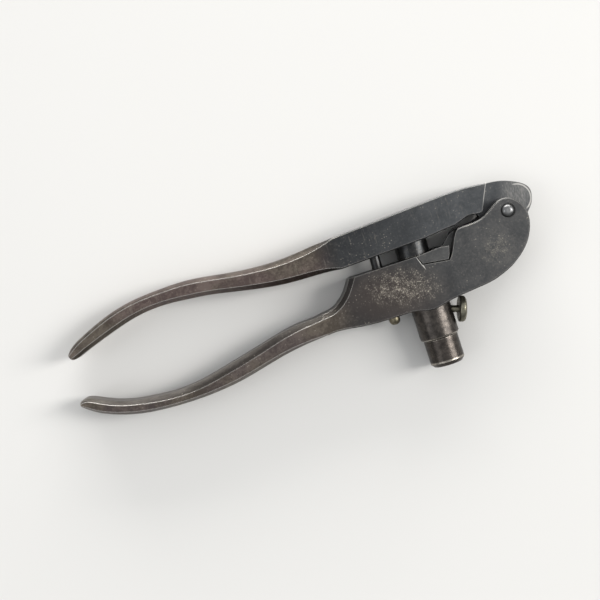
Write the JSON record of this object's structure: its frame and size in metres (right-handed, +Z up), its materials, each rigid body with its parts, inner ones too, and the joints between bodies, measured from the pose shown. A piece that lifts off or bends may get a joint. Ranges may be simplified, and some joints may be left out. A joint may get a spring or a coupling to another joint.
{
  "type": "crimping tool",
  "caption": "Hand-lever crimping and loading tool: curved handles hinged at one end, a stepped die under the jaw, a seating punch above it and a lifting extractor.",
  "frame": {"origin": "centre of the bounding box, on the side face that the tool lies on", "axes": "+X along the jaw from the handles to the hinge, +Y from the die towards the upper lever, +Z up along the hinge pin, from the side it lies on"},
  "size_m": [0.2358, 0.0782, 0.0233],
  "materials": {
    "lever_steel": "worn blued steel, brown patina on the handles",
    "black_steel": "glossy dark blued steel",
    "bright_steel": "polished steel",
    "nickel": "worn nickel plate",
    "old_brass": "tarnished brass"
  },
  "bodies": {
    "lower": {"lower_lever": "lever_steel", "pivot_pin": "bright_steel", "die_body": "black_steel", "priming_bush": "bright_steel"},
    "upper": {"upper_lever": "lever_steel", "seating_punch": "black_steel", "punch_screw": "bright_steel", "priming_pin": "black_steel", "pin_screw": "bright_steel"},
    "extractor_arm": {"extractor": "lever_steel"},
    "cap": {"die_cap": "black_steel"},
    "plug": {"seating_plug": "bright_steel"},
    "lock": {"die_lock_screw": "nickel"},
    "knockout": {"knockout_plunger": "old_brass"}
  },
  "joints": [
    {"name": "lever_pivot", "type": "hinge", "parent": "lower", "child": "upper", "pos_m": [0.10237, 0.02243, 0.011], "axis": [0, 0, -1], "range_deg": [-2.2, 90]},
    {"name": "extractor_pivot", "type": "hinge", "parent": "lower", "child": "extractor_arm", "pos_m": [0.10237, 0.02243, 0.011], "axis": [0, 0, -1], "range_deg": [-0.15, 4.55]},
    {"name": "cap_turn", "type": "hinge", "parent": "lower", "child": "cap", "pos_m": [0.05517, -0.02975, 0.011], "axis": [0, 1, 0], "range_deg": [-180, 180]},
    {"name": "plug_travel", "type": "slide", "parent": "cap", "child": "plug", "axis": [0, 1, 0], "range_m": [0, 0.008]},
    {"name": "lock_turn", "type": "hinge", "parent": "lower", "child": "lock", "pos_m": [0.06927, -0.01597, 0.011], "axis": [-0.9505, 0.3107, 0], "range_deg": [-180, 180]},
    {"name": "knockout_travel", "type": "slide", "parent": "lower", "child": "knockout", "axis": [0, 1, 0], "range_m": [0, 0.0032]}
  ],
  "couplings": [
    {"joint": "extractor_pivot", "follows": "lever_pivot", "ratio": 0.05}
  ]
}
